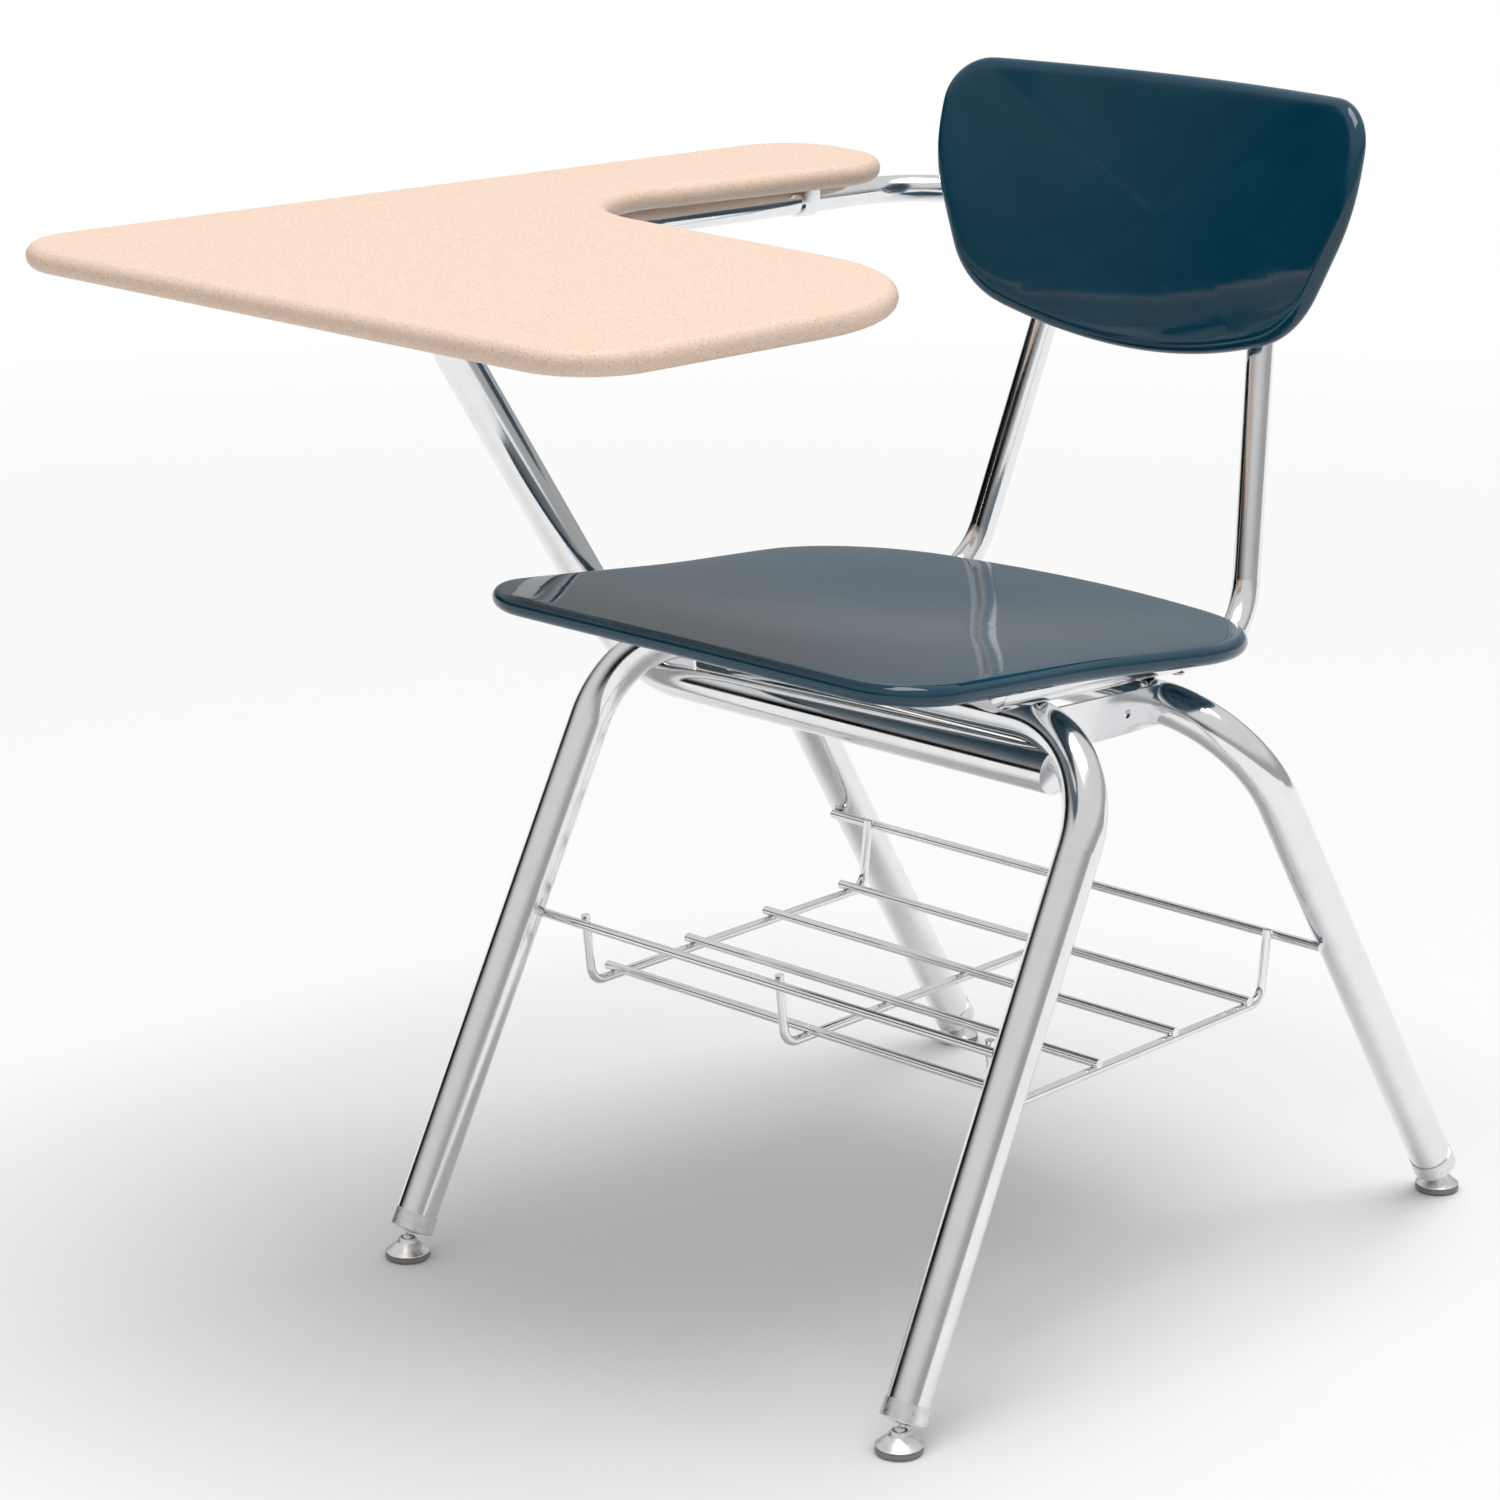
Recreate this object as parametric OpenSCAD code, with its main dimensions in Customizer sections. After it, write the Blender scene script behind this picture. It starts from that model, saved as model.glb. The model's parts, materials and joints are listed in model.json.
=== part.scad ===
// Student desk chair: a chromed steel tube chair with a hard plastic seat and back, a writing top
// on an arm at the sitter's right, a wire book rack between the legs and four self-levelling feet.
// Millimetres. +Z is up, the sitter faces -Y and the sitter's left hand is at +X.
// The parts are drawn about the chair's own middle plane, and place() then moves the whole chair
// so that its overall box is centred over the origin, with the feet standing on Z = 0.

/* [Frame tubes] */
// Outside diameter of the leg tubes and of the arm's front tube
leg_d = 28.6; // [26:0.2:30]
// Outside diameter of the back posts and of the arm's rear tube
post_d = 19; // [17:0.5:20]
// Wall thickness of every tube
wall = 1.6; // [1.2:0.1:2]
// Bend radius of the leg tubes at their centre line
leg_bend = 74; // [60:1:80]

/* [Legs] */
// Half the distance between left and right foot pivots
foot_x = 221.3; // [215:0.1:225]
// Front foot pivots, in front of the middle plane's origin
front_foot_y = -266.3; // [-275:0.1:-260]
// Rear foot pivots, behind it
rear_foot_y = 311; // [300:0.5:315]
// Half the width of the front arch where its tube's centre lines meet
front_corner_x = 212.6; // [210:0.1:215]
// Position of the front arch's crossbar, front to back
front_bar_y = -60.1; // [-62:0.1:-58]
// Height of the front arch's crossbar
front_bar_z = 409.6; // [408:0.1:411]
// Half the width of the rear arch where its tube's centre lines meet
rear_corner_x = 215.3; // [213:0.1:217]
// Position of the rear arch's crossbar, front to back
rear_bar_y = 71.4; // [70:0.1:73]
// Height of the rear arch's crossbar
rear_bar_z = 393.6; // [392:0.1:395]

/* [Feet] */
// Height of the foot's ball above the floor
ball_z = 13.5; // [13:0.1:14]
// Radius of the ball
ball_r = 3.8; // [3.6:0.1:4]
// Radius of the foot
foot_r = 15.3; // [14:0.1:17]
// Thickness of the base pad under the foot
pad_t = 4.6; // [4:0.1:5]

/* [Rails and back posts] */
// Half the distance between the rails where they cross the front arch
rail_front_x = 155; // [150:0.5:158]
// Height of the rails' centre lines where they cross the front arch
rail_front_z = 431.9; // [431.5:0.1:432.5]
// Half the distance between the posts where they meet the rails
rail_rear_x = 122.3; // [119:0.1:125]
// Height of the rails' centre lines where they meet the posts
rail_rear_z = 403.3; // [402.8:0.1:403.8]
// Lean of the posts from upright, towards the rear, in degrees
post_lean = 14.3; // [13.5:0.1:15]
// Lean of the posts towards each other, in degrees
post_tip_in = 8.7; // [8:0.1:9.5]

/* [Seat] */
// Thickness of the seat's rolled rim
seat_t = 14; // [13:0.5:15]
// Height of the rim's middle, half way from front to back
seat_rim_z = 440.6; // [440.4:0.1:442]
// Pitch of the rim, down towards the rear, in degrees
seat_pitch = 5.8; // [5.5:0.1:5.9]
// Depth of the hollow in the middle of the seat
seat_dish = 5; // [0:0.5:8]
// How far the front edge rolls down
seat_roll = 1; // [0:0.5:3]

/* [Back] */
// Thickness of the back
back_t = 13; // [10:0.5:14]
// Lean of the back from upright, in degrees
back_lean = 13.8; // [12:0.1:15]
// Radius that the back curves around the sitter
back_curve_r = 504; // [450:1:600]

/* [Writing top] */
// Thickness of the writing top
top_t = 16; // [13:0.5:18]
// Height of the writing top's upper face above the floor
top_z = 698; // [690:1:700]

/* [Book rack] */
// Diameter of the rack's wire
wire_d = 6.35; // [5:0.05:7]
// Height of the rack's floor hoops
rack_z = 172.4; // [165:0.1:180]
// Height of the rack's front and rear rails
rail_z = 217.5; // [210:0.1:225]
// Distance from the middle hoop to each side hoop
hoop_pitch = 179; // [160:1:185]

/* [Hidden] */
$fn = 48;

// Colours
CHROME = "lightsteelblue";
NICKEL = "silver";
NAVY = "#123447";
SAND = "#ead0b4";
GREY_PLASTIC = "dimgray";

// Parts that are welded sink this far into each other
weld = 0.3;
// Parts that only lie side by side stay this far apart
gap = 0.3;
leg_r = leg_d / 2;
post_r = post_d / 2;
wire_r = wire_d / 2;
front_corner = [front_corner_x, front_bar_y, front_bar_z];
rear_corner = [rear_corner_x, rear_bar_y, rear_bar_z];

// ---- Vectors ----
function unit(v) = v / norm(v);
function flip_x(p) = [-p[0], p[1], p[2]];
// Point on the line from a to b at height z
function at_height(a, b, z) = a + (b - a) * (z - a[2]) / (b[2] - a[2]);

// Frame whose local axes x, y, z are the unit vectors given, with its origin at o
module frame_at(o, x, y, z) {
    multmatrix([[x[0], y[0], z[0], o[0]], [x[1], y[1], z[1], o[1]], [x[2], y[2], z[2], o[2]], [0, 0, 0, 1]])
        children();
}

// Local +Z runs from a towards b
module along(a, b) {
    z = unit(b - a);
    helper = abs(z[2]) < 0.9 ? [0, 0, 1] : [0, 1, 0];
    x = unit(cross(helper, z));
    frame_at(a, x, cross(z, x), z) children();
}

module rod(a, b, d) {
    along(a, b) cylinder(h = norm(b - a), d = d);
}

// ---- Bent tubes and wires ----
// A path is a list of points, with one centre-line bend radius for each inner point.
function into(p, i) = unit(p[i] - p[i - 1]);
function out_of(p, i) = unit(p[i + 1] - p[i]);
function turn(p, i) = acos(into(p, i) * out_of(p, i));
function setback(p, r, i) = (i == 0 || i == len(p) - 1) ? 0 : r[i - 1] * tan(turn(p, i) / 2);

// Straight lengths run this far into the bends, whose skin is this much further out
lap = 0.3;
skin = 0.06;

// Direction from a straight length w towards the outer side of the bend beside it
function outer_side(p, i, w) = let (d = into(p, i) - out_of(p, i)) unit(d - w * (d * w));

// The bend at one inner point of a path
module path_bend(p, r, i, d) {
    u = into(p, i);
    out = outer_side(p, i, u);
    centre = p[i] - u * setback(p, r, i) - out * r[i - 1];
    frame_at(centre, out, u, cross(out, u))
        rotate_extrude(angle = turn(p, i), $fn = 96)
            translate([r[i - 1], 0]) circle(d = d + 2 * skin, $fn = 48);
}

// The solid that a wire of diameter d fills along a path, lengthened at both ends
module bent_rod(p, r, d, extra = 0) {
    last = len(p) - 1;
    for (i = [1 : last]) {
        u = into(p, i);
        a = p[i - 1] + u * (setback(p, r, i - 1) - (i == 1 ? extra : lap));
        b = p[i] - u * (setback(p, r, i) - (i == last ? extra : lap));
        x = outer_side(p, min(i, last - 1), u);
        frame_at(a, x, cross(u, x), u) cylinder(h = norm(b - a), d = d);
    }
    for (i = [1 : last - 1]) path_bend(p, r, i, d);
}

module bent_tube(p, r, d) {
    difference() {
        bent_rod(p, r, d);
        bent_rod(p, r, d - 2 * wall, 1);
    }
}

// ---- Rounded outlines ----
// Corners are [x, y, radius], counter-clockwise. Each result is [x, y, normal_x, normal_y].
function corner_arc(c, i, steps) =
    let (
        n = len(c),
        p = [c[i][0], c[i][1]],
        before = c[(i + n - 1) % n],
        after = c[(i + 1) % n],
        u = unit([before[0], before[1]] - p),
        v = unit([after[0], after[1]] - p),
        half = acos(u * v) / 2,
        side = (u[0] * v[1] - u[1] * v[0]) < 0 ? 1 : -1,
        centre = p + unit(u + v) * c[i][2] / sin(half),
        start = unit(p + u * c[i][2] / tan(half) - centre),
        first = atan2(start[1], start[0]),
        sweep = side * (180 - 2 * half)
    )
    [for (k = [0 : steps]) let (a = first + sweep * k / steps)
        [centre[0] + c[i][2] * cos(a), centre[1] + c[i][2] * sin(a), side * cos(a), side * sin(a)]];

function rounded_outline(c, steps) = [for (i = [0 : len(c) - 1]) each corner_arc(c, i, steps)];

// Lowest or highest value that a rounded corner reaches along one axis
function corner_reach(c, i, axis, sign) =
    let (n = len(c), p = [c[i][0], c[i][1]],
        u = unit([c[(i + n - 1) % n][0], c[(i + n - 1) % n][1]] - p),
        v = unit([c[(i + 1) % n][0], c[(i + 1) % n][1]] - p),
        centre = p + unit(u + v) * c[i][2] / sin(acos(u * v) / 2))
    centre[axis] + sign * c[i][2];

// The left half of a symmetric outline, mirrored from the right half's corners
function mirrored(c) = concat(c, [for (i = [len(c) - 1 : -1 : 0]) if (c[i][0] > 0) [-c[i][0], c[i][1], c[i][2]]]);

// ---- Moulded shells ----
// Each shell has a half-round rim whose centre line is the shell's outline.
// Section of the rim, from its lowest point round the outside to its highest: [outwards, upwards]
function rim(t, steps) = [for (k = [0 : steps]) let (a = -90 + 180 * k / steps) t / 2 * [cos(a), sin(a)]];
// The outline moved outwards by a distance
function grown(outline, d) = [for (q = outline) [q[0] + q[2] * d, q[1] + q[3] * d]];
// The outline drawn in towards a middle point, which is reached at a share of 0
function drawn_in(outline, middle, share) = [for (q = grown(outline, 0)) middle + (q - middle) * share];
function flat_list(rows) = [for (row = rows) each row];

// A closed solid over rings of points that all have the same count, with a point at each end
module closed_skin(rows, first_point, last_point) {
    n = len(rows[0]);
    last = len(rows) - 1;
    points = concat(flat_list(rows), [first_point, last_point]);
    pole = n * len(rows);
    walls = [for (j = [0 : last - 1]) for (i = [0 : n - 1])
        let (a = j * n + i, b = j * n + (i + 1) % n) each [[a, b + n, b], [a, a + n, b + n]]];
    ends = [for (i = [0 : n - 1]) each [
        [pole, i, (i + 1) % n],
        [pole + 1, last * n + (i + 1) % n, last * n + i]]];
    polyhedron(points, concat(walls, ends));
}

// ---- Rails under the seat ----
// Each rail lies across both arches and runs up into a back post. Further forward it stands wider.
rail_front_y = front_bar_y + 2;
rail_rear_y = 194.3;
rail_front = [rail_front_x, rail_front_y, rail_front_z];
post_base = [rail_rear_x, rail_rear_y, rail_rear_z];
rail_forward = unit(rail_front - post_base);
rail_pitch = asin(rail_forward[2]);
// Point on a rail's centre line
function rail_at(y) = post_base + rail_forward * (y - rail_rear_y) / rail_forward[1];
function rail_top(y) = rail_at(y)[2] + post_r / cos(rail_pitch);

// ---- Seat ----
// The seat's flat underside lies on the rails, and its rim reaches down beside them.
seat_corners = mirrored([
    [0, -223.8, 3000], [189.7, -225.5, 43.7], [179.9, -45.2, 399], [196.4, 147.7, 100.5], [0, 185.5, 400]]);
seat_middle = [0, -15];
// The flat underside starts at this share of the way from the middle to the rim
seat_inner_share = 0.98;
seat_rings = 7;
seat_roll_start = -170;
seat_roll_end = -224;
seat_hollow_x = 165;
seat_hollow_y = 185;
function bump(s) = s * s < 1 ? pow(1 - s * s, 2) : 0;
function seat_hollow(x, y) = seat_dish * bump(x / seat_hollow_x) * bump((y - 10) / seat_hollow_y);
function seat_level(y) = seat_rim_z - tan(seat_pitch) * y - (y < seat_roll_start
    ? seat_roll * pow((seat_roll_start - y) / (seat_roll_start - seat_roll_end), 2) : 0);

module seat_shell() {
    outline = rounded_outline(seat_corners, 8);
    under = function (p) [p[0], p[1], max(rail_top(p[1]) + gap, seat_level(p[1]) - seat_t / 2)];
    over = function (p) [p[0], p[1], seat_level(p[1]) + seat_t / 2 - seat_hollow(p[0], p[1])];
    edge = [for (e = rim(seat_t, 8)) [for (q = grown(outline, e[0])) [q[0], q[1], seat_level(q[1]) + e[1]]]];
    shares = [for (j = [1 : seat_rings]) j / seat_rings];
    underside = [for (s = shares) [for (p = drawn_in(outline, seat_middle, s * seat_inner_share)) under(p)]];
    upperside = [for (s = shares) [for (p = drawn_in(outline, seat_middle, 1 - s * seat_inner_share)) over(p)]];
    color(NAVY) closed_skin(concat(underside, edge, upperside), under(seat_middle), over(seat_middle));
}

// ---- Back ----
back_corners = mirrored([
    [0, -1.5, 400], [140, 36.5, 60.7], [176.1, 117.7, 120.7], [176.1, 184.2, 29.8], [0, 191.6, 2400]]);
back_middle = [0, 100];
back_foot = [0, 224, 577.6];
back_rings = 9;
function put_back(p) =
    let (
        a = p[0] / back_curve_r * 180 / PI,
        r = back_curve_r - p[2],
        x = r * sin(a),
        rearwards = r * cos(a) - back_curve_r
    )
    back_foot + [x, p[1] * sin(back_lean) + rearwards * cos(back_lean),
        p[1] * cos(back_lean) - rearwards * sin(back_lean)];

module back_shell() {
    outline = rounded_outline(back_corners, 8);
    edge = [for (e = rim(back_t, 8)) [for (q = grown(outline, e[0])) put_back([q[0], q[1], e[1]])]];
    face = function (s, h) [for (p = drawn_in(outline, back_middle, s)) put_back([p[0], p[1], h])];
    rear = [for (j = [1 : back_rings - 1]) face(j / back_rings, -back_t / 2)];
    front = [for (j = [1 : back_rings - 1]) face(1 - j / back_rings, back_t / 2)];
    color(NAVY) closed_skin(concat(rear, edge, front),
        put_back([back_middle[0], back_middle[1], -back_t / 2]),
        put_back([back_middle[0], back_middle[1], back_t / 2]));
}

// ---- Writing top ----
top_corners = [
    [-390.4, -434.3, 43], [135.7, -443.9, 46.4], [156.1, -133.4, 130.9],
    [-262.8, -99.9, 91], [-195.1, 200.5, 45.5], [-309.6, 218.1, 45.4]];
top_underside = top_z - top_t;

// From this point the whole outline can be seen, so both flat faces are drawn out from it
top_heart = [-300, -150];

module work_top() {
    outline = rounded_outline(top_corners, 12);
    middle_z = top_underside + top_t / 2;
    rows = [for (e = rim(top_t, 8)) [for (q = grown(outline, e[0])) [q[0], q[1], middle_z + e[1]]]];
    color(SAND) closed_skin(rows, [top_heart[0], top_heart[1], top_underside], [top_heart[0], top_heart[1], top_z]);
}

// ---- Legs ----
function front_pivot(side) = [side * foot_x, front_foot_y, ball_z];
function rear_pivot(side) = [side * foot_x, rear_foot_y, ball_z];
// How far up the leg the tube starts, measured from the ball
tube_start = 8.5;
function leg_foot(pivot, corner) = pivot + unit(corner - pivot) * tube_start;

function arch_path(pivot, corner) =
    [leg_foot(flip_x(pivot), flip_x(corner)), flip_x(corner), corner, leg_foot(pivot, corner)];

module leg_arch(pivot, corner) {
    color(CHROME) bent_tube(arch_path(pivot, corner), [leg_bend, leg_bend], leg_d);
}

module front_leg_arch() { leg_arch(front_pivot(1), front_corner); }
module rear_leg_arch() { leg_arch(rear_pivot(1), rear_corner); }

// ---- Self-levelling feet ----
// Everything turns about the ball's centre, so every bearing face is part of a sphere about it.
liner_t = 0.8;
bearing_gap = 0.05;
liner_r = ball_r + bearing_gap + liner_t;
cup_bore_r = liner_r + bearing_gap;
// The socket closes just above the ball's middle
mouth_z = 0.95;
sleeve_r = foot_r;
sleeve_start = 7;
sleeve_length = 12;
sleeve_lip = 0.7;
sleeve_floor_t = 3.5;
stud_neck_r = 1.7;
stud_shank_r = 4;
stud_gap = 0.1;
edge_round = 0.5;

// The pieces below are drawn with the ball's centre at the origin; in the first two, +Z is up the leg.
// Sleeve, from its hole for the stud round the outside to the ledge that the tube stands on
module leg_sleeve() {
    inside = leg_r + bearing_gap;
    hole = stud_shank_r + stud_gap;
    ledge = tube_start - 2 * stud_gap;
    top = sleeve_start + sleeve_length;
    color(NICKEL) rotate_extrude() polygon([
        [hole, ledge - sleeve_floor_t], [sleeve_r * 0.6, sleeve_start - 3 * edge_round],
        [sleeve_r - 2 * edge_round, sleeve_start - edge_round], [sleeve_r, sleeve_start + edge_round],
        [leg_r + sleeve_lip, top], [inside, top], [inside, ledge], [hole, ledge]]);
}

// Ball, neck and shank, with two rings that grip the inside of the tube
module ball_stud() {
    shank_start = tube_start - sleeve_floor_t;
    shank_top = sleeve_start + sleeve_length + 2;
    ring_t = 3;
    grip_r = leg_r - wall + bearing_gap;
    color(NICKEL) {
        sphere(r = ball_r);
        cylinder(h = shank_start + 1, r = stud_neck_r);
        translate([0, 0, shank_start]) cylinder(h = shank_top - shank_start, r = stud_shank_r);
        for (z = [1, 1 + 2 * ring_t]) translate([0, 0, tube_start + z]) cylinder(h = ring_t, r = grip_r);
    }
}

// Ball-shaped lining, cut level above the ball's middle and again below the ball
module socket_liner() {
    block = 20;
    lower_cut = ball_r + bearing_gap + liner_t / 2;
    color(GREY_PLASTIC) difference() {
        sphere(r = liner_r);
        sphere(r = ball_r + bearing_gap);
        translate([-block / 2, -block / 2, mouth_z]) cube(block);
        translate([-block / 2, -block / 2, -lower_cut - block]) cube(block);
    }
}

// Domed cup, from the middle of its base round the outside to the middle of its mouth
module foot_cup() {
    base = pad_t - ball_z;
    top = mouth_z + 0.3;
    shoulder_z = -1.6;
    shoulder_r = liner_r + 2.6;
    mouth_r = liner_r + 0.7;
    color(NICKEL) difference() {
        rotate_extrude() polygon([
            [0, base], [foot_r - edge_round, base], [foot_r, base + edge_round], [foot_r - 0.3, base + 2 * edge_round],
            [shoulder_r, shoulder_z], [mouth_r + edge_round, top - edge_round], [mouth_r, top], [0, top]]);
        sphere(r = cup_bore_r);
        translate([0, 0, base - 1]) cylinder(h = 1 - base, r = cup_bore_r);
    }
}

// Base pad with a hub that fills the cup's bore up to the lining
module foot_pad() {
    base = -ball_z;
    top = base + pad_t - gap / 3;
    hub_r = cup_bore_r - 2 * bearing_gap;
    hub_top = 1.6 - liner_r;
    pad_r = foot_r - gap / 3;
    color(GREY_PLASTIC) difference() {
        rotate_extrude() polygon([
            [0, base], [pad_r - 4 * edge_round, base], [pad_r - edge_round, base + 2 * edge_round],
            [pad_r, base + 4 * edge_round], [pad_r, top], [hub_r, top], [hub_r, hub_top], [0, hub_top]]);
        sphere(r = cup_bore_r);
    }
}

module on_leg(leg) { along(leg[0], leg[1]) children(); }
module at_pivot(leg) { translate(leg[0]) children(); }

// ---- Back posts ----
// Each post is one tube with its rail. It turns up behind the seat and leans back behind the back.
post_top_z = 742;
post_top = post_base + [-tan(post_tip_in), tan(post_lean), 1] * (post_top_z - rail_rear_z);
post_bend = 50;
rail_end_y = -117;
squash_length = 30;
tab_length = 26;
tab_width = 27;
tab_t = 4;

// Local +Z runs forward along the rail from its end, local +X to the side and local +Y up
module at_rail_end() {
    side = unit(cross([0, 0, 1], rail_forward));
    frame_at(rail_at(rail_end_y), side, cross(rail_forward, side), rail_forward) children();
}

// The rail's front end is pressed flat against the seat's underside
module rail_tab() {
    inside = 2;
    start_r = post_r - 0.2;
    intersection() {
        rotate_extrude() polygon([
            [0, -inside], [start_r, -inside], [start_r, 0],
            [tab_width / 2 - 0.2, squash_length], [0, squash_length]]);
        rotate([0, -90, 0]) linear_extrude(2 * tab_width, center = true) polygon([
            [-2 * inside, -post_r], [0, -post_r], [squash_length, post_r - tab_t + 0.1],
            [squash_length, post_r - 0.1], [-2 * inside, post_r - 0.1]]);
    }
    translate([0, post_r, squash_length - 1]) rotate([90, 0, 0]) linear_extrude(tab_t) {
        translate([-tab_width / 2, 0]) square([tab_width, tab_length - tab_width / 2]);
        translate([0, tab_length - tab_width / 2]) circle(d = tab_width);
    }
}

module back_post() {
    color(CHROME) {
        bent_tube([rail_at(rail_end_y), post_base, post_top], [post_bend], post_d);
        at_rail_end() rail_tab();
    }
}

module left_back_post() { back_post(); }
module right_back_post() { mirror([1, 0, 0]) back_post(); }

plug_depth = 12;
plug_head_t = 3;

// Plug in a thin tube's end: the tube ends at the origin and points along +Z
module tube_plug() {
    color(GREY_PLASTIC) {
        translate([0, 0, gap / 3]) cylinder(h = plug_head_t, r1 = post_r - 0.2, r2 = post_r - wall);
        translate([0, 0, -plug_depth]) cylinder(h = plug_depth + gap, r = post_r - wall - bearing_gap);
    }
}

module post_plugs() {
    along(post_top, post_top + unit(post_top - post_base)) tube_plug();
    along(flip_x(post_top), flip_x(2 * post_top - post_base)) tube_plug();
}

// ---- Side plates ----
// Pressed steel ties between the two arches, coped round the start of the arches' bends
plate_x = 150;
plate_t = 2.5;
plate_hole_d = 6;
plate_holes = [[-26, 399.5], [33, 394]];

module side_plate() {
    color(CHROME) difference() {
        translate([plate_x - plate_t / 2, 0, 0]) rotate([90, 0, 90]) linear_extrude(plate_t) difference() {
            polygon([
                [front_bar_y + 4, front_bar_z - 26], [rear_bar_y - 2, rear_bar_z - 14],
                [rear_bar_y - 2, rear_bar_z + 13], [front_bar_y + 2, front_bar_z + 4.5]]);
            for (h = plate_holes) translate(h) circle(d = plate_hole_d);
        }
        path_bend(arch_path(front_pivot(1), front_corner), [leg_bend, leg_bend], 2, leg_d - 0.1);
        path_bend(arch_path(rear_pivot(1), rear_corner), [leg_bend, leg_bend], 2, leg_d - 0.1);
    }
}

module left_side_plate() { side_plate(); }
// The right plate is also coped round the arm's lower run
module right_side_plate() {
    color(CHROME) difference() {
        mirror([1, 0, 0]) side_plate();
        rod(arm_run_end, arm_low, leg_d - 0.1);
    }
}

// ---- Writing top's arm ----
plate_thick = 2.5;
arm_z = top_underside - plate_thick - leg_r + weld;
arm_run_end = [178, -73.5, 383.4];
arm_low = [-220.4, -41.6, 371];
arm_high = [-298, -182, arm_z];
arm_rear_corner = [-243.5,
    at_height(post_base, post_top, arm_z)[1] + (2 * post_r - weld) / cos(post_lean), arm_z];
arm_joint_y = 12;
arm_low_bend = 57;
arm_high_bend = 50;
arm_rear_bend = 65;
arm_joint = arm_high + (arm_rear_corner - arm_high) * (arm_joint_y - arm_high[1]) / (arm_rear_corner[1] - arm_high[1]);
arm_back_end = [104, arm_rear_corner[1], arm_z];
swage_length = 22;

module arm_front_tube() {
    color(CHROME) {
        difference() {
            union() {
                bent_tube([arm_run_end, arm_low, arm_high, arm_joint], [arm_low_bend, arm_high_bend], leg_d);
                // The lower end is closed by a disc welded into it
                along(arm_run_end, arm_low) translate([0, 0, gap]) cylinder(h = wall, d = leg_d - 1.8 * wall);
            }
            // The lower end is coped round the front arch's bend
            path_bend(arch_path(front_pivot(1), front_corner), [leg_bend, leg_bend], 2, leg_d - 0.1);
        }
        // The rear end is swaged down round the thinner rear tube
        along(arm_joint, arm_rear_corner) rotate_extrude() polygon([
            [leg_r - wall + 0.2, -1], [leg_r - wall + 0.2, 0],
            [post_r, swage_length * 0.6], [post_r, swage_length],
            [post_r + wall, swage_length], [post_r + wall, swage_length * 0.6],
            [leg_r - 0.2, 0], [leg_r - 0.2, -1]]);
    }
}

module arm_rear_tube() {
    color(CHROME) bent_tube([arm_joint, arm_rear_corner, arm_back_end], [arm_rear_bend], post_d - 0.1);
}

module arm_rear_tube_plug() { along(arm_back_end, arm_back_end + [1, 0, 0]) tube_plug(); }

plate_corners = [[-345, -205, 15], [-235, -205, 15], [-250, -25, 15], [-325, -25, 15]];
plate_screws = [[-332, -192], [-248, -192], [-259, -38], [-316, -38]];

module top_support_plate() {
    color(CHROME) translate([0, 0, top_underside - plate_thick]) linear_extrude(plate_thick)
        polygon([for (q = rounded_outline(plate_corners, 6)) [q[0], q[1]]]);
}

clamp_y = 168;
clamp_at = arm_joint + (arm_rear_corner - arm_joint) * (clamp_y - arm_joint[1]) / (arm_rear_corner[1] - arm_joint[1]);
clamp_width = 13;
clamp_t = 2;
clamp_foot = 21;

module arm_strap_clamp() {
    rise = top_underside - arm_z;
    outer = post_r + clamp_t;
    color(CHROME) along(clamp_at, arm_rear_corner) translate([0, 0, -clamp_width / 2]) linear_extrude(clamp_width)
        difference() {
            union() {
                circle(r = outer);
                translate([-outer, 0]) square([2 * outer, rise]);
                translate([-clamp_foot, rise - clamp_t]) square([2 * clamp_foot, clamp_t]);
            }
            circle(r = post_r + 0.05);
            translate([-post_r - 0.05, 0]) square([2 * post_r + 0.1, rise + 1]);
        }
}

// ---- Fasteners ----
// Round-headed screw: the head's flat face is at the origin and the shank runs up +Z
module screw(shank, length, head) {
    cylinder(h = length, d = shank);
    translate([0, 0, -1.6]) cylinder(h = 1.6, r1 = head / 2 - 1, r2 = head / 2);
}

module top_screws() {
    color(NICKEL) for (p = plate_screws) translate([p[0], p[1], top_underside - plate_thick]) screw(4, 13, 9);
}

module clamp_screws() {
    color(NICKEL) along(clamp_at, arm_rear_corner) for (side = [1, -1])
        translate([side * (clamp_foot + post_r + clamp_t) / 2, top_underside - arm_z - clamp_t, 0])
            rotate([-90, 0, 0]) screw(4, 12, 8);
}

// Each rail takes one screw through its flat end and one through the tube.
rear_seat_screw_y = 109;

module seat_screws() {
    color(NICKEL) for (side = [0, 1]) mirror([side, 0, 0]) {
        at_rail_end() translate([0, post_r - tab_t, squash_length + 8]) rotate([-90, 0, 0]) screw(5, tab_t + 8, 10);
        along(rail_at(rear_seat_screw_y), rail_at(0)) translate([0, -post_r, 0]) rotate([-90, 0, 0])
            screw(5, post_d + 8, 10);
    }
}

// The back stands off each post on two spacers; the screws come through the post from behind.
back_screw_v = [40, 150];
function back_hole(side, v) =
    let (z = back_foot[2] + v * cos(back_lean), p = at_height(post_base, post_top, z))
    side > 0 ? p : flip_x(p);
// Direction from the post to the back, square to the shell
function to_back(p) =
    let (a = asin(p[0] / back_curve_r)) [-sin(a), -cos(a) * cos(back_lean), cos(a) * sin(back_lean)];
// Distance from a point behind the back to the shell's middle surface
function shell_distance(p) =
    let (
        d = p - back_foot,
        rearwards = d[1] * cos(back_lean) - d[2] * sin(back_lean)
    )
    norm([d[0], back_curve_r + rearwards]) - back_curve_r;

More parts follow.
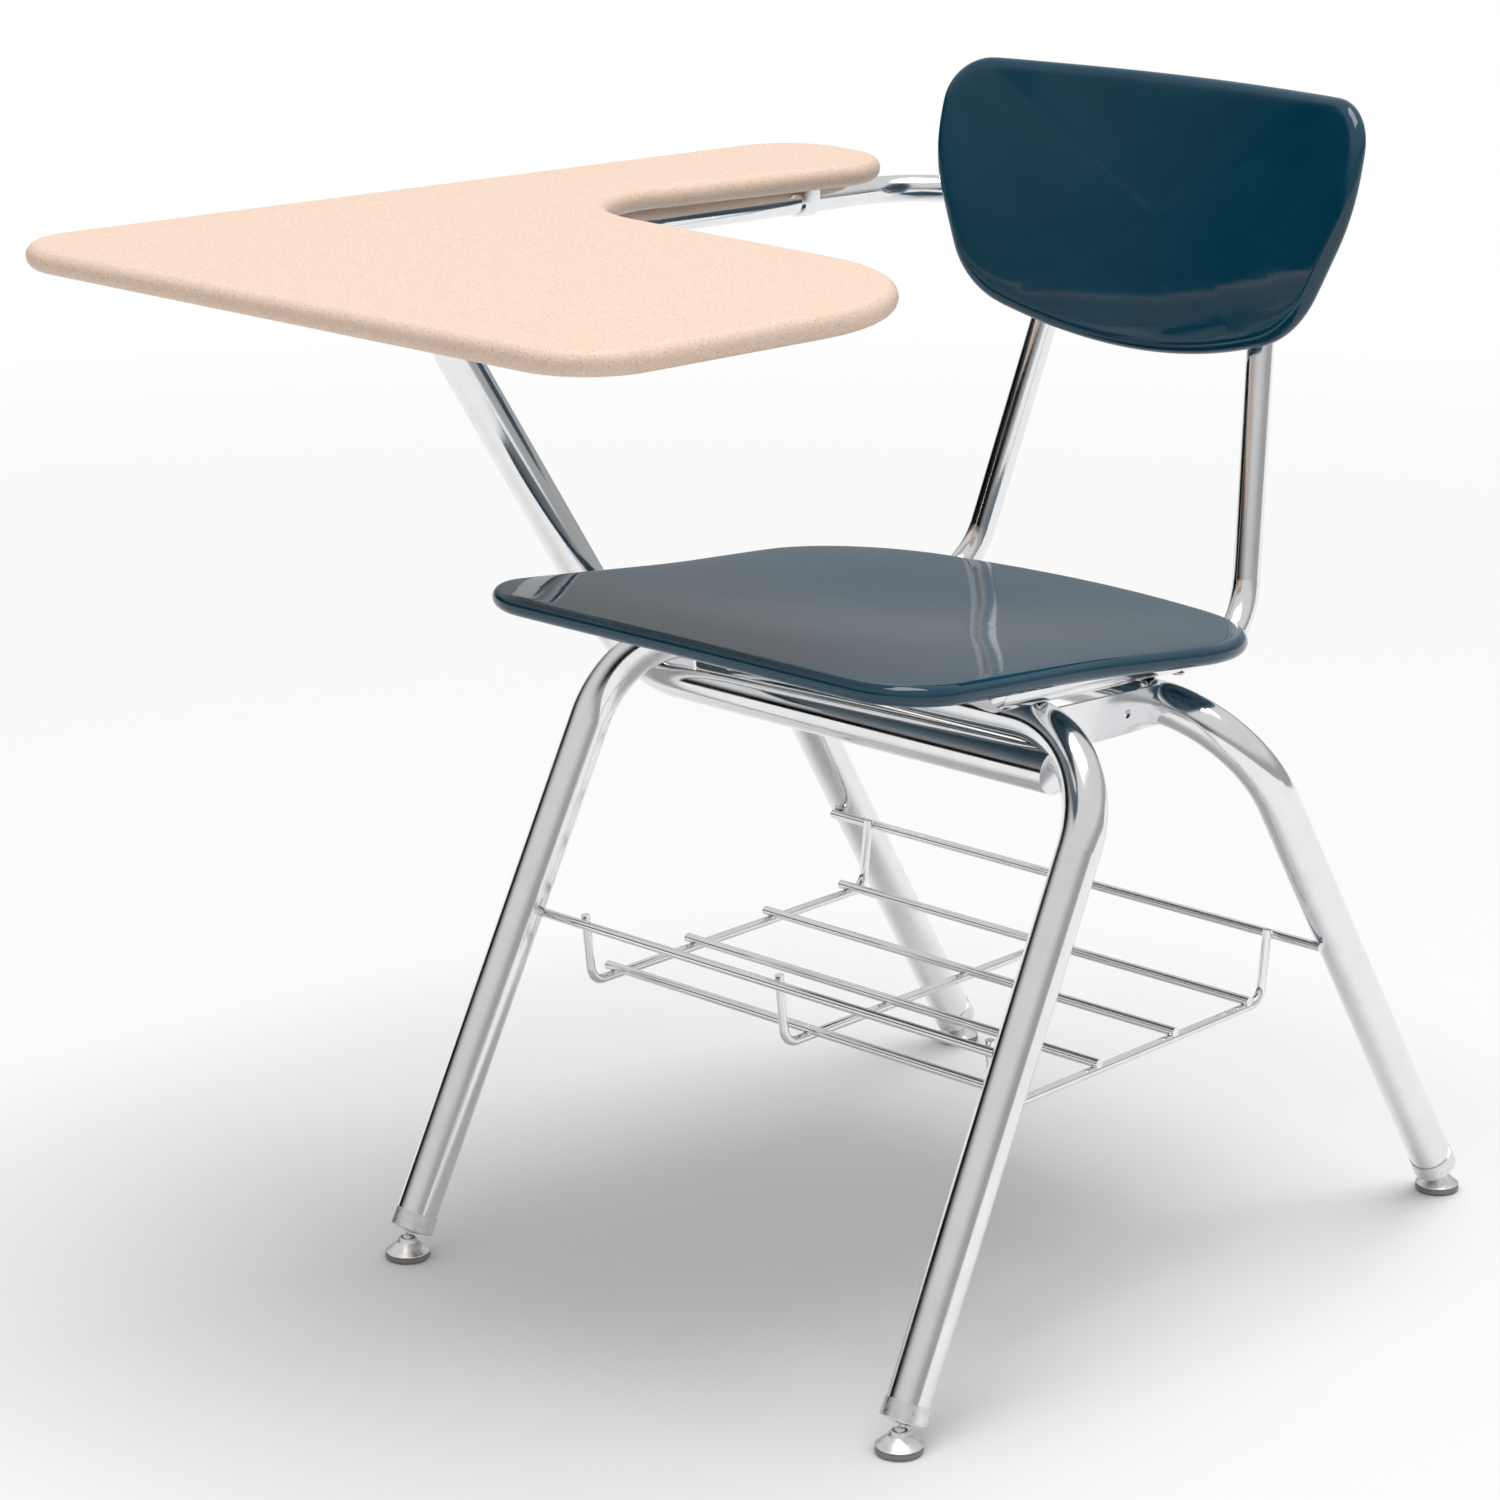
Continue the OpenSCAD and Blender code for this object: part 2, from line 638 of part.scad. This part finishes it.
module back_spacers() {
    color(GREY_PLASTIC) for (side = [1, -1]) for (v = back_screw_v) {
        p = back_hole(side, v);
        reach = shell_distance(p) - back_t / 2 - 0.1;
        difference() {
            rod(p, p + to_back(p) * reach, 16);
            rod(back_hole(side, v - 40), back_hole(side, v + 40), post_d + 0.05);
        }
    }
}

module back_screws() {
    color(NICKEL) for (side = [1, -1]) for (v = back_screw_v) {
        p = back_hole(side, v);
        start = p - to_back(p) * (post_r + 0.1);
        along(start, p) screw(5, post_r + shell_distance(p) + 2, 10);
    }
}

// ---- Book rack ----
// The rails cross the inner sides of the legs; the hoops hang from the rails.
function leg_point(pivot, corner, z) = at_height(pivot, corner, z);
function leg_lean(pivot, corner) = acos(unit(corner - pivot)[2]);
rail_touch = leg_r + wire_r - weld;
front_rail_y = leg_point(front_pivot(1), front_corner, rail_z)[1]
    + rail_touch / cos(leg_lean(front_pivot(1), front_corner));
rear_rail_y = leg_point(rear_pivot(1), rear_corner, rail_z)[1]
    - rail_touch / cos(leg_lean(rear_pivot(1), rear_corner));
rail_half = 219;
hoop_front_y = front_rail_y + wire_d - weld;
hoop_rear_y = rear_rail_y - wire_d + weld;
hoop_flare = 6;
hoop_top_z = rail_z + wire_r + 1.6;
hoop_bend = 12;
floor_wire_z = rack_z + wire_d - weld;
floor_wire_y = [-108.5, -29.4, 51, 131.8];
floor_wire_half = hoop_pitch + 5;

module rack_rail(y) { color(CHROME) rod([-rail_half, y, rail_z], [rail_half, y, rail_z], wire_d); }
module rack_front_rail() { rack_rail(front_rail_y); }
module rack_rear_rail() { rack_rail(rear_rail_y); }

module rack_hoop(x) {
    path = [
        [x, hoop_front_y, hoop_top_z], [x, hoop_front_y + hoop_flare, rack_z],
        [x, hoop_rear_y - hoop_flare, rack_z], [x, hoop_rear_y, hoop_top_z]];
    color(CHROME) bent_rod(path, [hoop_bend, hoop_bend], wire_d);
}

module rack_left_hoop() { rack_hoop(hoop_pitch); }
module rack_middle_hoop() { rack_hoop(0); }
module rack_right_hoop() { rack_hoop(-hoop_pitch); }

module rack_floor_wire(i) {
    y = floor_wire_y[i - 1];
    color(CHROME) rod([-floor_wire_half, y, floor_wire_z], [floor_wire_half, y, floor_wire_z], wire_d);
}

// ---- Placing ----
box_left = foot_x + foot_r;
box_right = corner_reach(top_corners, 0, 0, -1) - top_t / 2;
box_front = corner_reach(top_corners, 1, 1, -1) - top_t / 2;
box_rear = rear_foot_y + foot_r;
module place() { translate([-(box_left + box_right) / 2, -(box_front + box_rear) / 2, 0]) children(); }

// Each leg as [foot pivot, corner that the leg runs up to]
FRONT_LEFT = [front_pivot(1), front_corner];
FRONT_RIGHT = [front_pivot(-1), flip_x(front_corner)];
REAR_LEFT = [rear_pivot(1), rear_corner];
REAR_RIGHT = [rear_pivot(-1), flip_x(rear_corner)];

place() seat_shell();
place() back_shell();
place() work_top();
place() front_leg_arch();
place() rear_leg_arch();
place() left_back_post();
place() right_back_post();
place() left_side_plate();
place() right_side_plate();
place() arm_front_tube();
place() arm_rear_tube();
place() arm_rear_tube_plug();
place() top_support_plate();
place() arm_strap_clamp();
place() top_screws();
place() clamp_screws();
place() seat_screws();
place() back_screws();
place() back_spacers();
place() post_plugs();
place() rack_front_rail();
place() rack_rear_rail();
place() rack_left_hoop();
place() rack_middle_hoop();
place() rack_right_hoop();
place() rack_floor_wire(1);  // rack_floor_wire_1
place() rack_floor_wire(2);  // rack_floor_wire_2
place() rack_floor_wire(3);  // rack_floor_wire_3
place() rack_floor_wire(4);  // rack_floor_wire_4

place() on_leg(FRONT_LEFT) leg_sleeve();  // front_left_leg_sleeve
place() on_leg(FRONT_LEFT) ball_stud();  // front_left_ball_stud
place() at_pivot(FRONT_LEFT) socket_liner();  // front_left_socket_liner
place() at_pivot(FRONT_LEFT) foot_cup();  // front_left_foot_cup
place() at_pivot(FRONT_LEFT) foot_pad();  // front_left_foot_pad

place() on_leg(FRONT_RIGHT) leg_sleeve();  // front_right_leg_sleeve
place() on_leg(FRONT_RIGHT) ball_stud();  // front_right_ball_stud
place() at_pivot(FRONT_RIGHT) socket_liner();  // front_right_socket_liner
place() at_pivot(FRONT_RIGHT) foot_cup();  // front_right_foot_cup
place() at_pivot(FRONT_RIGHT) foot_pad();  // front_right_foot_pad

place() on_leg(REAR_LEFT) leg_sleeve();  // rear_left_leg_sleeve
place() on_leg(REAR_LEFT) ball_stud();  // rear_left_ball_stud
place() at_pivot(REAR_LEFT) socket_liner();  // rear_left_socket_liner
place() at_pivot(REAR_LEFT) foot_cup();  // rear_left_foot_cup
place() at_pivot(REAR_LEFT) foot_pad();  // rear_left_foot_pad

place() on_leg(REAR_RIGHT) leg_sleeve();  // rear_right_leg_sleeve
place() on_leg(REAR_RIGHT) ball_stud();  // rear_right_ball_stud
place() at_pivot(REAR_RIGHT) socket_liner();  // rear_right_socket_liner
place() at_pivot(REAR_RIGHT) foot_cup();  // rear_right_foot_cup
place() at_pivot(REAR_RIGHT) foot_pad();  // rear_right_foot_pad
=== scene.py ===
"""Student desk chair: the looks, the floor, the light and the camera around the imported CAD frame.

Metres. +Z is up, the sitter faces -Y and the sitter's left hand is at +X. The tubes, plates, wires,
screws and feet are the CAD nodes themselves with finished materials. The seat, the back and the
writing top are rebuilt as smooth pieces from their faceted CAD solids.
"""

import json
import math

import bmesh
import bpy
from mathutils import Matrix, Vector


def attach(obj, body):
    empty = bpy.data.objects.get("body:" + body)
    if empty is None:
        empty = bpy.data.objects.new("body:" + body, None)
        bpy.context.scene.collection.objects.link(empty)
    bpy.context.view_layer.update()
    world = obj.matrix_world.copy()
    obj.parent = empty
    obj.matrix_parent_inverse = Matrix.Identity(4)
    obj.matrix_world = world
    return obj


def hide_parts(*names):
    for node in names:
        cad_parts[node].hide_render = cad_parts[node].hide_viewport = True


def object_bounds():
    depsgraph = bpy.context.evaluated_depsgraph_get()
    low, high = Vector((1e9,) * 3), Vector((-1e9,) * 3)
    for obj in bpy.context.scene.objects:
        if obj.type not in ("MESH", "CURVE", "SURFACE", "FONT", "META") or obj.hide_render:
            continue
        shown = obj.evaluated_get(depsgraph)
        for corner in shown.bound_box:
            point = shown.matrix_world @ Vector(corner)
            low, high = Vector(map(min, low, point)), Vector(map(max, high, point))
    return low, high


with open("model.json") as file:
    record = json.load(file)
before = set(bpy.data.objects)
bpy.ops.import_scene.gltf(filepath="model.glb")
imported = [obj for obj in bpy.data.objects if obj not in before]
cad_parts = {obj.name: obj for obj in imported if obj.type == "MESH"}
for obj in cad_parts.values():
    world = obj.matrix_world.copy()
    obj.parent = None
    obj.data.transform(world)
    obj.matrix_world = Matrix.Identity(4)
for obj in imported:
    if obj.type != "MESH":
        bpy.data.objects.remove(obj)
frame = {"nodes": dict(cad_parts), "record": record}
cad_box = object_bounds()

# ---- Camera: where the viewer stands, seen from the middle of the chair ----
VIEW_AZIMUTH = 42.94  # degrees from the front towards the sitter's left
VIEW_ELEVATION = 16.61  # degrees above level
VIEW_DISTANCE = 2.9062
AIM_RIGHT = -0.0112  # how far right of the chair's middle the viewer stands and looks
AIM_UP = -0.039  # and how far above it
LENS = 104.76  # mm
SENSOR_WIDTH = 36  # mm
FAR_CLIP = 100

# ---- Light, as brightness on white ----
SKY_BRIGHT = 0.72
SKY_LEVEL = 0.38  # at eye level all round
SKY_DARK = 0.0  # at eye level in the studio's dark corner
DARK_CORNER = -41  # its azimuth, in degrees
DARK_CORNER_EDGE = (0.25, 0.75)  # cosines of the angles from it between which it darkens
SKY_RISE = (8, 26)  # degrees above level between which it brightens
FLOOR_NEAR = 0.79
FLOOR_FADE = (0.9, 3.2)  # distances from the chair between which the floor turns into a white backdrop
FLOOR_HALF = 9.0  # half the floor's width

# ---- Smooth pieces ----
WELD_DISTANCE = 0.00001  # corners nearer than this are one
ROUNDING = 2  # subdivision levels of the seat and the back
FLAT_PAIR_BEND = 25  # degrees between two triangles that may still join into a quad
QUAD_SKEW = 60  # degrees by which such a quad's corners may differ from a rectangle's


# ---- Material helpers ----
def start_material(name, metallic=0.0):
    """A new Principled material, and its shader."""
    mat = bpy.data.materials.new(name)
    mat.use_nodes = True
    shader = mat.node_tree.nodes["Principled BSDF"]
    shader.inputs["Metallic"].default_value = metallic
    return mat, shader


def link(owner, source, target):
    owner.node_tree.links.new(source, target)


def add_node(owner, kind, **inputs):
    """A node of a material or world, its inputs set by name. A socket given as a value is linked."""
    node = owner.node_tree.nodes.new(kind)
    for name, value in inputs.items():
        socket = node.inputs[name.replace("_", " ")]
        if isinstance(value, bpy.types.NodeSocket):
            link(owner, value, socket)
        else:
            socket.default_value = value
    return node


def noise(mat, size, detail, stretch=(1.0, 1.0, 1.0)):
    """Noise over the object's own coordinates whose blobs are about `size` metres across."""
    coords = add_node(mat, "ShaderNodeTexCoord")
    mapping = add_node(mat, "ShaderNodeMapping", Vector=coords.outputs["Object"], Scale=stretch)
    texture = add_node(
        mat, "ShaderNodeTexNoise", Vector=mapping.outputs["Vector"], Scale=1.0 / size, Detail=detail)
    return texture.outputs["Fac"]


def grains(mat, size):
    """Distance to the middle of the nearest of many scattered grains `size` metres apart."""
    coords = add_node(mat, "ShaderNodeTexCoord")
    texture = add_node(mat, "ShaderNodeTexVoronoi", Vector=coords.outputs["Object"], Scale=1.0 / size)
    return texture.outputs["Distance"]


def between(owner, source, low, high, at_low=0.0, at_high=1.0, curve="LINEAR"):
    """source from low to high becomes at_low to at_high, and stays there beyond."""
    node = add_node(
        owner, "ShaderNodeMapRange", Value=source, From_Min=low, From_Max=high, To_Min=at_low, To_Max=at_high)
    node.interpolation_type = curve
    return node.outputs["Result"]


def mixed(mat, share, color_a, color_b):
    """color_a where share is 0 and color_b where it is 1. Each is a colour or a socket."""
    node = add_node(mat, "ShaderNodeMix")
    node.data_type = "RGBA"
    link(mat, share, node.inputs[0])
    for socket, color in ((node.inputs[6], color_a), (node.inputs[7], color_b)):
        if isinstance(color, bpy.types.NodeSocket):
            link(mat, color, socket)
        else:
            socket.default_value = (*color, 1.0)
    return node.outputs[2]


def add_bump(mat, shader, height, depth, below=None):
    """Relief of about `depth` metres, laid over an earlier relief if one is given."""
    node = add_node(mat, "ShaderNodeBump", Height=height, Distance=depth, Strength=1.0)
    if below is not None:
        link(mat, below, node.inputs["Normal"])
    link(mat, node.outputs["Normal"], shader.inputs["Normal"])
    return node.outputs["Normal"]


def colored(mat, shader, color, roughness):
    """The shader takes its colour and its roughness from these two sockets."""
    link(mat, color, shader.inputs["Base Color"])
    link(mat, roughness, shader.inputs["Roughness"])


# ---- Materials ----
def chrome():
    """Bright chromium plate on drawn tube: faint long waves, fine haze and a few dull smudges."""
    mat, shader = start_material("chrome", metallic=1.0)
    clean, dull = (0.84, 0.845, 0.855), (0.79, 0.80, 0.815)
    smudges = between(mat, noise(mat, size=0.02, detail=4.0), 0.4, 0.75)
    haze = between(mat, noise(mat, size=0.05, detail=3.0), 0.35, 0.75, at_low=0.10, at_high=0.17)
    colored(mat, shader, mixed(mat, smudges, clean, dull), haze)
    waves = add_bump(mat, shader, noise(mat, size=0.03, detail=1.0), depth=0.00002)
    add_bump(mat, shader, noise(mat, size=0.0012, detail=2.0), depth=0.000001, below=waves)
    return mat


def nickel():
    """Satin nickel on the feet and their ferrules, with turning marks and a little grime."""
    mat, shader = start_material("nickel", metallic=1.0)
    clean, grimy = (0.82, 0.815, 0.805), (0.70, 0.695, 0.685)
    grime = between(mat, noise(mat, size=0.006, detail=3.0), 0.45, 0.75)
    satin = between(mat, noise(mat, size=0.004, detail=4.0), 0.35, 0.7, at_low=0.25, at_high=0.38)
    colored(mat, shader, mixed(mat, grime, clean, grimy), satin)
    turning_marks = noise(mat, size=0.0025, detail=2.0, stretch=(1.0, 1.0, 6.0))
    add_bump(mat, shader, turning_marks, depth=0.00002)
    return mat


def zinc():
    """Zinc-plated screws: cloudy, duller than the chrome."""
    mat, shader = start_material("zinc", metallic=1.0)
    bluish, yellowish = (0.55, 0.56, 0.58), (0.68, 0.67, 0.64)
    clouds = noise(mat, size=0.003, detail=3.0)
    dullness = between(mat, noise(mat, size=0.002, detail=4.0), 0.3, 0.7, at_low=0.22, at_high=0.45)
    colored(mat, shader, mixed(mat, clouds, bluish, yellowish), dullness)
    add_bump(mat, shader, noise(mat, size=0.0008, detail=2.0), depth=0.00001)
    return mat


def navy_plastic():
    """Hard moulded plastic, polished: a slow surface wave, fine scuffs and a colour that varies a little."""
    mat, shader = start_material("navy_plastic")
    deep, lighter = (0.0018, 0.039, 0.070), (0.003, 0.046, 0.080)
    patches = between(mat, noise(mat, size=0.05, detail=3.0), 0.35, 0.7)
    scuffs = noise(mat, size=0.004, detail=5.0, stretch=(1.0, 0.25, 1.0))
    polish = between(mat, scuffs, 0.58, 0.72, at_low=0.05, at_high=0.16)
    colored(mat, shader, mixed(mat, patches, deep, lighter), polish)
    shader.inputs["IOR"].default_value = 1.5
    wave = add_bump(mat, shader, noise(mat, size=0.03, detail=1.0), depth=0.00003)
    add_bump(mat, shader, noise(mat, size=0.0015, detail=2.0), depth=0.000003, below=wave)
    return mat


def sand_laminate():
    """Hard writing top: a warm sand colour with fine pale and brown flecks under a pebbled, dull face."""
    mat, shader = start_material("sand_laminate")
    light_sand, dark_sand = (0.76, 0.58, 0.46), (0.66, 0.485, 0.375)
    pale, brown = (0.86, 0.74, 0.64), (0.38, 0.28, 0.23)
    base = mixed(mat, between(mat, noise(mat, size=0.0018, detail=4.0), 0.35, 0.68), light_sand, dark_sand)
    pale_flecks = between(mat, noise(mat, size=0.0013, detail=2.0), 0.62, 0.70, at_high=0.8)
    brown_flecks = between(mat, grains(mat, size=0.0045), 0.10, 0.16, at_low=0.75, at_high=0.0)
    flecked = mixed(mat, brown_flecks, mixed(mat, pale_flecks, base, pale), brown)
    dullness = between(mat, noise(mat, size=0.003, detail=3.0), 0.3, 0.7, at_low=0.42, at_high=0.6)
    colored(mat, shader, flecked, dullness)
    add_bump(mat, shader, noise(mat, size=0.0011, detail=3.0), depth=0.00006)
    return mat


def grey_plastic():
    """Plain moulded grey plastic of the plugs, spacers and foot pads."""
    mat, shader = start_material("grey_plastic")
    dark, light = (0.16, 0.165, 0.17), (0.27, 0.275, 0.28)
    clouds = noise(mat, size=0.004, detail=4.0)
    dullness = between(mat, noise(mat, size=0.002, detail=3.0), 0.3, 0.7, at_low=0.4, at_high=0.65)
    colored(mat, shader, mixed(mat, clouds, dark, light), dullness)
    add_bump(mat, shader, noise(mat, size=0.0006, detail=2.0), depth=0.00002)
    return mat


def paint_cad_nodes(finishes):
    """Each CAD node takes the material of its slot in the record."""
    for part in frame["record"]["subparts"]:
        mesh = frame["nodes"][part["node"]].data
        mesh.materials.clear()
        mesh.materials.append(finishes[part["material_slot"]])


# ---- Smooth pieces ----
def welded_copy(node):
    """The CAD node's mesh with its doubled corners joined."""
    bm = bmesh.new()
    bm.from_mesh(frame["nodes"][node].data)
    bmesh.ops.remove_doubles(bm, verts=bm.verts, dist=WELD_DISTANCE)
    bmesh.ops.dissolve_degenerate(bm, dist=WELD_DISTANCE, edges=bm.edges)
    return bm


def join_quads(bm):
    """Pairs of nearly flat triangles become quads, which subdivide evenly."""
    bmesh.ops.join_triangles(
        bm, faces=bm.faces,
        angle_face_threshold=math.radians(FLAT_PAIR_BEND), angle_shape_threshold=math.radians(QUAD_SKEW),
        cmp_seam=False, cmp_sharp=False, cmp_uvs=False, cmp_vcols=False, cmp_materials=False)


def smooth_piece(name, node, slot, finishes, levels):
    """A smooth piece that stands for a faceted CAD solid, built from that solid's own corners.

    With no levels its flat faces stay flat and only the shading is smooth.
    """
    bm = welded_copy(node)
    if levels:
        join_quads(bm)
    bmesh.ops.recalc_face_normals(bm, faces=bm.faces)
    for face in bm.faces:
        face.smooth = True
    mesh = bpy.data.meshes.new(name)
    bm.to_mesh(mesh)
    bm.free()
    mesh.materials.append(finishes[slot])
    piece = bpy.data.objects.new(name, mesh)
    bpy.context.scene.collection.objects.link(piece)
    if levels:
        subdivision = piece.modifiers.new("smooth", "SUBSURF")
        subdivision.levels = levels
        subdivision.render_levels = levels
    else:
        weighted = piece.modifiers.new("flat_faces_stay_flat", "WEIGHTED_NORMAL")
        weighted.keep_sharp = False
    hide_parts(node)
    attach(piece, "chair_frame")


# ---- Floor, light and camera ----
def middle():
    """The middle of the chair's own box."""
    low, high = (Vector(corner) for corner in cad_box)
    return (low + high) / 2


def outward(azimuth, elevation):
    """The direction from the chair to something at that azimuth and elevation, in degrees."""
    a, e = math.radians(azimuth), math.radians(elevation)
    return Vector((math.sin(a) * math.cos(e), -math.cos(a) * math.cos(e), math.sin(e)))


def floor():
    """A wide pale floor that turns into a plain white backdrop further off."""
    mat, shader = start_material("floor")
    shader.inputs["Base Color"].default_value = (FLOOR_NEAR, FLOOR_NEAR, FLOOR_NEAR, 1.0)
    shader.inputs["Roughness"].default_value = 0.9
    shader.inputs["Specular IOR Level"].default_value = 0.0
    coords = add_node(mat, "ShaderNodeTexCoord")
    away = add_node(mat, "ShaderNodeVectorMath", Vector=coords.outputs["Object"])
    away.operation = "LENGTH"
    fade = between(mat, away.outputs["Value"], *FLOOR_FADE)
    backdrop = add_node(mat, "ShaderNodeEmission")
    both = add_node(mat, "ShaderNodeMixShader")
    link(mat, fade, both.inputs[0])
    link(mat, shader.outputs[0], both.inputs[1])
    link(mat, backdrop.outputs[0], both.inputs[2])
    link(mat, both.outputs[0], mat.node_tree.nodes["Material Output"].inputs["Surface"])
    corners = [(x * FLOOR_HALF, y * FLOOR_HALF, 0) for x, y in ((-1, -1), (1, -1), (1, 1), (-1, 1))]
    mesh = bpy.data.meshes.new("floor")
    mesh.from_pydata(corners, [], [(0, 1, 2, 3)])
    mesh.materials.append(mat)
    plane = bpy.data.objects.new("floor", mesh)
    bpy.context.scene.collection.objects.link(plane)


def sky():
    """White overhead, greyer towards level, with one dark corner that the back mirrors."""
    world = bpy.data.worlds.new("studio")
    world.use_nodes = True
    bpy.context.scene.world = world
    background = world.node_tree.nodes["Background"]
    background.inputs["Color"].default_value = (1.0, 1.0, 1.0, 1.0)
    direction = add_node(world, "ShaderNodeTexCoord").outputs["Generated"]
    height = add_node(world, "ShaderNodeSeparateXYZ", Vector=direction).outputs["Z"]
    corner = add_node(world, "ShaderNodeVectorMath", Vector=direction)
    corner.operation = "DOT_PRODUCT"
    corner.inputs[1].default_value = outward(DARK_CORNER, 0)
    level = between(world, corner.outputs["Value"], *DARK_CORNER_EDGE, SKY_LEVEL, SKY_DARK, "SMOOTHSTEP")
    low, high = (math.sin(math.radians(angle)) for angle in SKY_RISE)
    brightness = between(world, height, low, high, level, SKY_BRIGHT, "SMOOTHSTEP")
    link(world, brightness, background.inputs["Strength"])


def area_light(name, azimuth, elevation, distance, size, power):
    """A square soft light, `size` metres wide and of `power` watts, aimed at the middle of the chair."""
    light = bpy.data.lights.new(name, "AREA")
    light.size = size
    light.energy = power
    lamp = bpy.data.objects.new(name, light)
    out = outward(azimuth, elevation)
    lamp.location = middle() + out * distance
    lamp.rotation_euler = out.to_track_quat("Z", "Y").to_euler()
    bpy.context.scene.collection.objects.link(lamp)


def camera():
    """The viewer, a little above the writing top, off the sitter's left front corner."""
    data = bpy.data.cameras.new("camera")
    data.lens = LENS
    data.sensor_width = SENSOR_WIDTH
    data.clip_end = FAR_CLIP
    eye = bpy.data.objects.new("camera", data)
    back = outward(VIEW_AZIMUTH, VIEW_ELEVATION)
    right = Vector((0, 0, 1)).cross(back).normalized()
    up = back.cross(right)
    eye.location = middle() + right * AIM_RIGHT + up * AIM_UP + back * VIEW_DISTANCE
    eye.rotation_euler = back.to_track_quat("Z", "Y").to_euler()
    bpy.context.scene.collection.objects.link(eye)
    bpy.context.scene.camera = eye


def main():
    finishes = {
        "chrome_steel": chrome(),
        "nickel_steel": nickel(),
        "zinc_steel": zinc(),
        "navy_plastic": navy_plastic(),
        "sand_laminate": sand_laminate(),
        "grey_plastic": grey_plastic(),
    }
    paint_cad_nodes(finishes)
    smooth_piece("seat", "seat_shell", "navy_plastic", finishes, ROUNDING)
    smooth_piece("back", "back_shell", "navy_plastic", finishes, ROUNDING)
    smooth_piece("writing_top", "work_top", "sand_laminate", finishes, 0)
    floor()
    sky()
    area_light("key", azimuth=75, elevation=86, distance=5.0, size=3.4, power=195)
    camera()
    bpy.context.scene.view_settings.view_transform = "Standard"


main()
